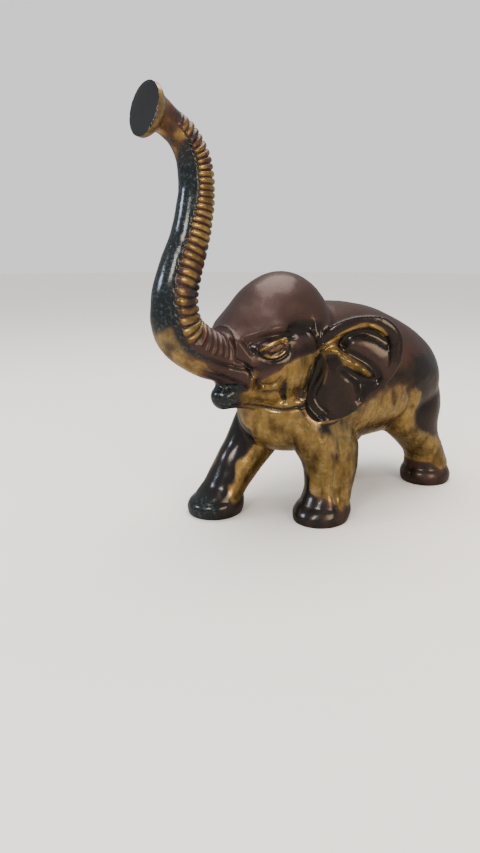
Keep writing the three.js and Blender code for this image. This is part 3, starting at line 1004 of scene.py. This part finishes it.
def earPatinaAndShade(skin):
    for side in (1, -1):
        spots, height, _ = earSpots(skin.points, side)
        on = ramp(insideEar(spots), 1.06, 0.99) * ((height > -6.5) & (height < 6) & (skin.side == side))
        # the ear is painted near-black: dark patina, with painted shade in its folds and under its roll
        front = on * ramp(height, -3.4, -1.6)
        skin.gold *= 1 - on
        skin.dark *= 1 - on
        skin.dark += on * 0.6 + front * 0.38
        chosen = front > 0.01
        brown = np.clip(carved(patinaAndPaintedLight["earBrown"], spots[chosen]), 0, 1)
        shine = np.clip(carved(patinaAndPaintedLight["earGold"], spots[chosen]), 0, 1)
        skin.dark[chosen] -= front[chosen] * (0.4 * brown + shine)
        skin.gold[chosen] += front[chosen] * shine


def trunkPatinaAndReflection(skin):
    near = (skin.forward > 88) & ((skin.up > 98) | (skin.forward > 112))
    along, turn = onTrunk(skin.points[near])
    spread, patch = ringSpread(along), skin.mottle[near]
    onTop = ramp(turn, spread + 0.1, spread - 0.1)
    below = 1 - onTop
    column = ramp(along, 30, 50)
    neck = ramp(along + 6 * patch, *patinaAndPaintedLight["neck"])
    bend, root = bump(along - 118, 24), bump(along - 52, 9)
    # the smooth side beyond the rings is painted near-black, a painted dark reflection
    dark = below * (column * (1 - neck) + (1 - column) * 0.55)
    dark += onTop * column * (0.42 - 0.14 * patch) * (1 - 0.5 * bend)
    start, end = patinaAndPaintedLight["underGoldReflection"]
    # gold under the root and the bend, a painted reflection of the bright ground
    gold = below * ramp(along, *start) * ramp(along, *end) * ramp(turn, 1.9, 2.4) * (0.7 + 0.15 * patch)
    overNeck = onTop * ramp(along, *patinaAndPaintedLight["topGold"]) * (0.32 + 0.2 * patch)
    gold += below * neck * (0.5 + 0.2 * patch) + overNeck
    crest = ramp(skin.relief[near], -0.1, 0.8)
    # the ring crests are gold, partly rubbed bright and partly painted highlights, most at the bend and the
    # root
    gold += onTop * column * crest * (0.17 + 0.4 * bump(along - 118, 26) + 0.4 * root + 0.24 * patch)
    weight = ramp(skin.forward[near], 92, 99)
    skin.gold[near] = blend(skin.gold[near], gold, weight)
    skin.dark[near] = blend(skin.dark[near], np.clip(dark - gold * 0.8, 0, 1), weight)


def discPatinaAndPaintedLight(skin):
    tip = (skin.points - trunkLine[-1]) @ trunkAlong[-1]
    on = (tip > -2) & (skin.forward > 138)
    skin.face = on * ramp(skin.normals @ trunkAlong[-1], 0.35, 0.75) * ramp(tip, 0.6, 1.4)
    # gold round the rim, partly a painted highlight; the face painted blue-black, a painted dark reflection
    look = patinaAndPaintedLight["disc"]
    skin.dark = blend(np.where(on, look["dark"], skin.dark), look["faceDark"], skin.face)
    skin.gold = np.where(on, look["gold"], skin.gold) * (1 - skin.face)


def rubbedEdges(skin):
    # raised edges are rubbed bright, hollows keep their dark
    skin.gold += 0.25 * ramp(skin.relief, 0.45, 1.1) * (skin.gold > 0.2)
    skin.dark = skin.dark * (1 - 0.3 * ramp(skin.relief, 0.5, 1.2)) + 0.32 * ramp(-skin.relief, 0.2, 1.5)
    skin.gold *= 1 - 0.6 * ramp(-skin.relief, 0.2, 1.2)


def finishes(points, normals, relief):
    # how much of each point is gold and how much near-black, with brown between, and how bluish that black
    # is; besides patina and wear these hold painted reflections, highlights and shade
    skin = readSkin(points, normals, relief)
    layers = (bodyPatinaAndReflection, legPatinaAndReflection, headPatinaAndReflection, sideMarks, earPatinaAndShade, trunkPatinaAndReflection, discPatinaAndPaintedLight, rubbedEdges)
    for layOn in layers:
        layOn(skin)
    # the black is bluer along the trunk and on the lip, and a little so down the front legs: a painted
    # reflection of bluish light
    onTrunkSide = ramp(skin.forward, 100, 118) * ramp(skin.up, 30, 60)
    onFrontLegs = 0.35 * ramp(skin.up, 78, 60) * ramp(skin.forward, 20, 34)
    coolReflection = np.maximum(np.maximum(onTrunkSide, onFrontLegs), skin.lip)
    coolReflection = blend(coolReflection, patinaAndPaintedLight["disc"]["faceCool"], skin.face)
    return {"gold": np.clip(skin.gold, 0, 1), "dark": np.clip(skin.dark, 0, 1), "coolReflection": coolReflection}


piece = blockOut()
softenJoins(piece)
refine(piece)
carve(piece)
thin(piece)
onlySelect(piece)
bpy.ops.object.shade_smooth()


def linear(colour):
    # an sRGB hex value as linear red, green and blue
    parts = [int(colour[i:i + 2], 16) / 255 for i in (1, 3, 5)]
    return (*(p / 12.92 if p <= 0.04045 else ((p + 0.055) / 1.055) ** 2.4 for p in parts), 1)


def addNode(tree, kind, settings=None, links=None):
    node = tree.nodes.new(kind)
    for name, value in (settings or {}).items():
        if isinstance(name, int) or name in node.inputs:
            node.inputs[name].default_value = value
        else:
            setattr(node, name, value)
    for name, source in (links or {}).items():
        tree.links.new(source, node.inputs[name])
    return node


bronzeFinish = {
    "gold": "#a68a4e",
    "paleGold": "#c8ac72",
    "oldGold": "#503f23",
    "plumBrown": "#43302c",
    "rustBrown": "#533725",
    "brownBlack": "#1d1714",
    # the bluish black is a painted reflection of bluish light, and the blue glint a painted glint
    "coolReflectionBlack": "#1b2022",
    "blueGlint": "#46555c",
    # sizes of the patterns, in mm
    "patchSize": 14,
    "mottleSize": 4,
    "streakSize": 9,
    "speckSize": 1.2,  # the pits of a casting are about 0.3 mm, drawn coarser so that they show
    "dappleSize": 1.6,  # dapples of the hammered skin, which also place the painted bluish glints; the real ones are finer, drawn coarser so that they show
    "streakPace": 0.45,  # how slowly the streaks change downwards, against across
    "raggedness": 0.3,  # of the edges where the finishes meet
    # where each tone starts, where it is full, and how much of it there is then
    "shares": {
        "bare": (0.2, 0.8, 1),
        "black": (0.12, 0.85, 1),
        "rusty": (0.02, 0.15, 1),
        "pale": (0.35, 0.75, 1),
        "tarnish": (0.38, 0.72, 0.85),
        "pits": (0.64, 0.74, 0.75),
        # painted bluish glints, dappled over the bluish black
        "glint": (0.5, 0.72, 0.55),
        "dappled": (0.72, 1, 1),
    },
    # the patina is a mineral skin that hides part of the metal
    "metallic": {"brown": 0.5, "gold": 0.92, "black": 0.3},
    # from the lows to the highs of the mottle
    "roughness": {"brown": (0.36, 0.46), "gold": (0.42, 0.16), "black": 0.2},
    "wax": (0.2, 0.15),  # how much of it there is, and its roughness
    "relief": {"height": 0.15, "strength": 0.36, "dapple": 0.8, "specks": 0.35},  # its height is in mm
}


def bronzeShares(tree, pattern):
    # how much of each tone shows; the finishes meet in soft, ragged edges
    gold, dark, coolReflection = (addNode(tree, "ShaderNodeAttribute", {"attribute_name": name}).outputs["Fac"]
                        for name in ("gold", "dark", "coolReflection"))
    rough = bronzeFinish["raggedness"]
    some = {"operation": "MULTIPLY_ADD", 1: rough}
    ragged = addNode(tree, "ShaderNodeMath", {**some, 2: -rough}, {0: pattern["patchSize"]}).outputs[0]
    ragged = addNode(tree, "ShaderNodeMath", some, {0: pattern["mottleSize"], 2: ragged}).outputs[0]
    goldEdge, darkEdge, coolEdge = (
        addNode(tree, "ShaderNodeMath", {"operation": "ADD", "use_clamp": clamp},
                {0: laid, 1: ragged}).outputs[0]
        for laid, clamp in ((gold, False), (dark, False), (coolReflection, True)))
    shares = {"cold": coolEdge}
    readFrom = {
        "bare": goldEdge, "black": darkEdge, "rusty": gold, "pale": pattern["mottleSize"],
        "tarnish": pattern["streakSize"], "pits": pattern["speckSize"], "glint": pattern["dappleSize"],
        "dappled": coolReflection,
    }
    for name, (low, high, most) in bronzeFinish["shares"].items():
        settings = {"interpolation_type": "SMOOTHSTEP", "From Min": low, "From Max": high, "To Max": most}
        shares[name] = addNode(tree, "ShaderNodeMapRange", settings, {"Value": readFrom[name]}).outputs[0]
    # the painted glints show only where the black is bluish
    both = {0: shares["glint"], 1: shares["dappled"]}
    shares["glint"] = addNode(tree, "ShaderNodeMath", {"operation": "MULTIPLY"}, both).outputs[0]
    return shares


def bronzeTone(tree, shares):
    # each tone lies over the one before it, as far as its share says
    mix = {"data_type": "RGBA"}
    tones = []
    for base, over, share in (("gold", "paleGold", "pale"), ("plumBrown", "rustBrown", "rusty"),
                              ("brownBlack", "coolReflectionBlack", "cold")):
        both = {**mix, 6: linear(bronzeFinish[base]), 7: linear(bronzeFinish[over])}
        tones.append(addNode(tree, "ShaderNodeMix", both, {0: shares[share]}).outputs[2])
    golds, browns, blacks = tones
    old, blue, pit = ({**mix, 7: linear(bronzeFinish[name])}
                      for name in ("oldGold", "blueGlint", "brownBlack"))
    golds = addNode(tree, "ShaderNodeMix", old, {0: shares["tarnish"], 6: golds}).outputs[2]
    # painted bluish glints over the black
    blacks = addNode(tree, "ShaderNodeMix", blue, {0: shares["glint"], 6: blacks}).outputs[2]
    tone = addNode(tree, "ShaderNodeMix", mix, {0: shares["bare"], 6: browns, 7: golds}).outputs[2]
    tone = addNode(tree, "ShaderNodeMix", mix, {0: shares["black"], 6: tone, 7: blacks}).outputs[2]
    return addNode(tree, "ShaderNodeMix", pit, {0: shares["pits"], 6: tone}).outputs[2]


def bronzeSheen(tree, shares, mottle):
    # how metallic and how rough the surface is
    metallic, roughness = bronzeFinish["metallic"], bronzeFinish["roughness"]
    levels = {"To Min": metallic["brown"], "To Max": metallic["gold"]}
    metal = addNode(tree, "ShaderNodeMapRange", levels, {"Value": shares["bare"]}).outputs[0]
    under = {"data_type": "FLOAT", 3: metallic["black"]}
    metal = addNode(tree, "ShaderNodeMix", under, {0: shares["black"], 2: metal}).outputs[0]
    satin, polish = (
        addNode(tree, "ShaderNodeMapRange", {"To Min": low, "To Max": high}, {"Value": mottle}).outputs[0]
        for low, high in (roughness["brown"], roughness["gold"]))
    worn = {0: shares["bare"], 2: satin, 3: polish}
    rough = addNode(tree, "ShaderNodeMix", {"data_type": "FLOAT"}, worn).outputs[0]
    gloss = {"data_type": "FLOAT", 3: roughness["black"]}
    return metal, addNode(tree, "ShaderNodeMix", gloss, {0: shares["black"], 2: rough}).outputs[0]


def bronzeRelief(tree, pattern):
    form = bronzeFinish["relief"]
    height = pattern["mottleSize"]
    for name, size in (("dapple", "dappleSize"), ("specks", "speckSize")):
        part = {"operation": "MULTIPLY_ADD", 1: form[name]}
        height = addNode(tree, "ShaderNodeMath", part, {0: pattern[size], 2: height}).outputs[0]
    settings = {"Strength": form["strength"], "Distance": form["height"] * mm}
    return addNode(tree, "ShaderNodeBump", settings, {"Height": height}).outputs["Normal"]


def patinatedBronzeWithPaintedLight():
    # Lost-wax bronze under a brown and black chemical patina, waxed, then worn back to bare golden metal
    # where it is handled. Its colour also holds painted light: gold reflections of the bright ground low
    # down, near-black reflections of a dim room, and bluish glints. The bare metal mirrors softly, the brown
    # has a satin sheen and the black a deep, dappled gloss.
    material = bpy.data.materials.new("patinatedBronzeWithPaintedLight")
    material.use_nodes = True
    tree = material.node_tree
    shader = tree.nodes["Principled BSDF"]
    look = bronzeFinish
    place = addNode(tree, "ShaderNodeTexCoord").outputs["Object"]
    stretch = {"Scale": (1, 1, look["streakPace"])}
    upright = addNode(tree, "ShaderNodeMapping", stretch, {"Vector": place}).outputs["Vector"]
    details = {"patchSize": 3, "mottleSize": 4, "streakSize": 3, "speckSize": 2, "dappleSize": 2}
    pattern = {}
    for size, detail in details.items():
        settings = {"Scale": 1 / (look[size] * mm), "Detail": detail, "Roughness": 0.55}
        where = upright if size == "streakSize" else place
        pattern[size] = addNode(tree, "ShaderNodeTexNoise", settings, {"Vector": where}).outputs["Fac"]
    shares = bronzeShares(tree, pattern)
    metal, rough = bronzeSheen(tree, shares, pattern["mottleSize"])
    tree.links.new(bronzeTone(tree, shares), shader.inputs["Base Color"])
    tree.links.new(metal, shader.inputs["Metallic"])
    tree.links.new(rough, shader.inputs["Roughness"])
    tree.links.new(bronzeRelief(tree, pattern), shader.inputs["Normal"])
    shader.inputs["Coat Weight"].default_value, shader.inputs["Coat Roughness"].default_value = look["wax"]
    return material


piece.data.materials.clear()
piece.data.materials.append(patinatedBronzeWithPaintedLight())
print("finish laid on")

view = {
    "place": (0.2916, -0.3047, 0.175),  # metres
    "tilt": 74,  # degrees up from straight down, then round from the front
    "turn": 50,
    "lens": 26.67,
}


def makeCamera():
    turns = (math.radians(view["tilt"]), 0, math.radians(view["turn"]))
    bpy.ops.object.camera_add(location=view["place"], rotation=turns)
    camera = bpy.context.object
    camera.name = "camera"
    camera.data.lens = view["lens"]
    camera.data.clip_start = 0.01
    bpy.context.scene.camera = camera


makeCamera()

studio = {
    "floor": "#f4f2ee",
    "seen": 1.07,  # brightness of the plain backdrop
    "around": 1.15,  # brightness that falls on the floor from all round
    "mirrored": 0.3,  # brightness of the dim room that the metal mirrors
    "mirroredFloor": "#8c857c",
    "lit": (0, -0.02, 0.11),  # the middle of the piece, which each softbox faces
    # name: place, size, power, colour
    "softboxes": {
        "overhead": [(-0.15, 0.1, 0.95), 0.8, 10, "#fff1e6"],
        "coolSide": [(-0.55, -0.85, 0.55), 0.2, 3, "#dbe8fb"],
        "warmSide": [(0.95, -0.1, 0.45), 0.4, 4.2, "#ffe2bd"],
        "front": [(0.35, -0.9, 0.75), 0.25, 4, "#fff6ea"],
    },
}


def makeFloor():
    # matt pale paper, which the metal mirrors darker than it is
    bpy.ops.mesh.primitive_circle_add(vertices=96, radius=4, fill_type="NGON")
    floor = bpy.context.object
    floor.name = "floor"
    paper = bpy.data.materials.new("paleFloor")
    paper.use_nodes = True
    tree = paper.node_tree
    shader = tree.nodes["Principled BSDF"]
    mirror = addNode(tree, "ShaderNodeLightPath").outputs["Is Glossy Ray"]
    colours = {"data_type": "RGBA", 6: linear(studio["floor"]), 7: linear(studio["mirroredFloor"])}
    shade = addNode(tree, "ShaderNodeMix", colours, {0: mirror}).outputs[2]
    tree.links.new(shade, shader.inputs["Base Color"])
    shader.inputs["Roughness"].default_value = 0.8
    shader.inputs["Specular IOR Level"].default_value = 0.1
    floor.data.materials.append(paper)


def makeLights():
    for name, (place, size, power, colour) in studio["softboxes"].items():
        heading = Vector(studio["lit"]) - Vector(place)
        turned = heading.to_track_quat("-Z", "Y").to_euler()
        bpy.ops.object.light_add(type="AREA", location=place, rotation=turned)
        light = bpy.context.object
        light.name = name
        light.data.size = size
        light.data.energy = power
        light.data.color = linear(colour)[:3]


def makeRoom():
    world = bpy.data.worlds.new("studio")
    bpy.context.scene.world = world
    world.use_nodes = True
    tree = world.node_tree
    tree.nodes.clear()
    ray = addNode(tree, "ShaderNodeLightPath")
    levels, glossy = {"To Min": studio["around"], "To Max": studio["mirrored"]}, ray.outputs["Is Glossy Ray"]
    strength = addNode(tree, "ShaderNodeMapRange", levels, {"Value": glossy}).outputs[0]
    strength = addNode(tree, "ShaderNodeMix", {"data_type": "FLOAT", 3: studio["seen"]},
                       {0: ray.outputs["Is Camera Ray"], 2: strength}).outputs[0]
    sky = addNode(tree, "ShaderNodeBackground", {"Color": (1, 1, 1, 1)}, {"Strength": strength})
    addNode(tree, "ShaderNodeOutputWorld", None, {"Surface": sky.outputs[0]})


makeFloor()
makeLights()
makeRoom()
print("studio lit")

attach(piece, "root")
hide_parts("elephant")
